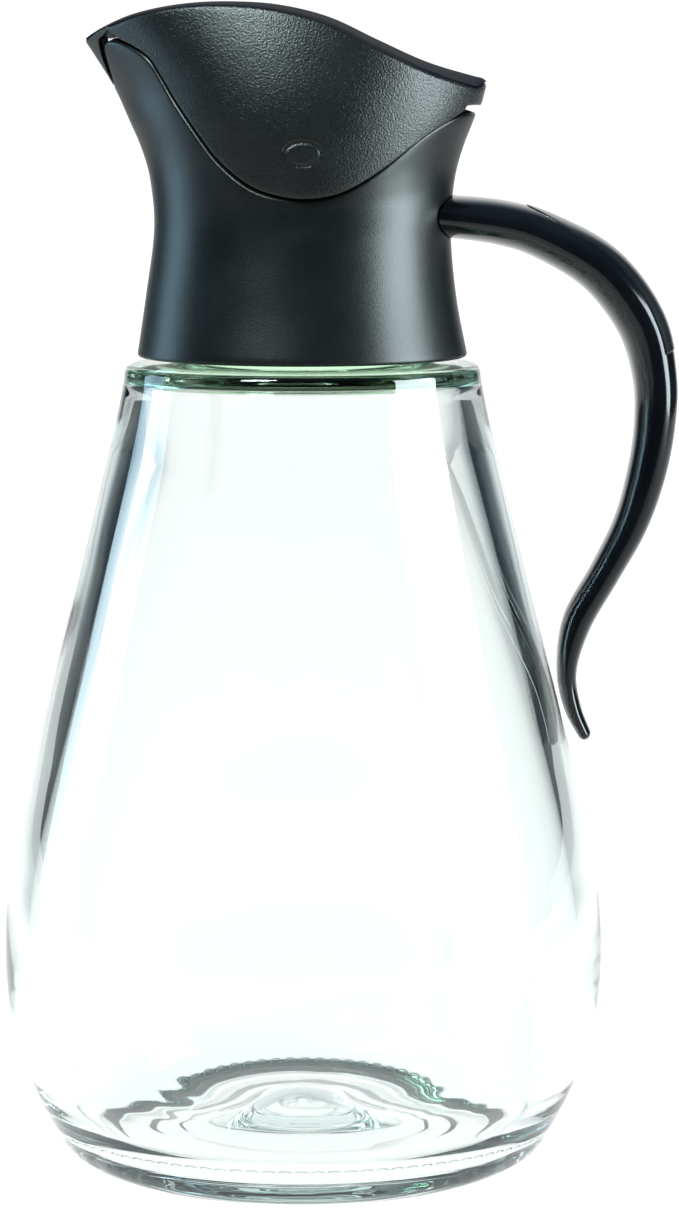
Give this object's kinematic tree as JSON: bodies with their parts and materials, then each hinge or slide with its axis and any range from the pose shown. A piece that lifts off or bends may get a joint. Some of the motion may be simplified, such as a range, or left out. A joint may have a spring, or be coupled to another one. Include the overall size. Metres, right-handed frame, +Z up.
{
  "type": "syrup dispenser",
  "caption": "Clear pear-shaped glass syrup dispenser with a black waisted pouring collar, a hinged flip lid with a beak and an S-curved side handle.",
  "frame": {"origin": "middle of the whole object's footprint, on the plane it stands on; the bottle's axis stands 7.2 mm towards -X of it", "axes": "+Z up along the bottle's axis, the spout towards -X, the handle towards +X"},
  "size_m": [0.1384, 0.124, 0.2362],
  "materials": {
    "clear_glass": "clear with a faint green tint in the thick edges",
    "satin_black_plastic": "satin, fine moulded grain",
    "textured_black_plastic": "satin, coarser moulded grain",
    "gloss_black_plastic": "polished",
    "gloss_black_inlay": "highly polished"
  },
  "bodies": {
    "base": {"glass_bottle": "clear_glass", "pourer_collar": "satin_black_plastic", "handle": "gloss_black_plastic", "handle_inlay": "gloss_black_inlay"},
    "lid": {"flip_lid": "textured_black_plastic"}
  },
  "joints": [
    {"name": "lid_hinge", "type": "hinge", "parent": "base", "child": "lid", "pos_m": [-0.0068, 0, 0.2061], "axis": [0, 1, 0], "range_deg": [0, 7.5]}
  ]
}
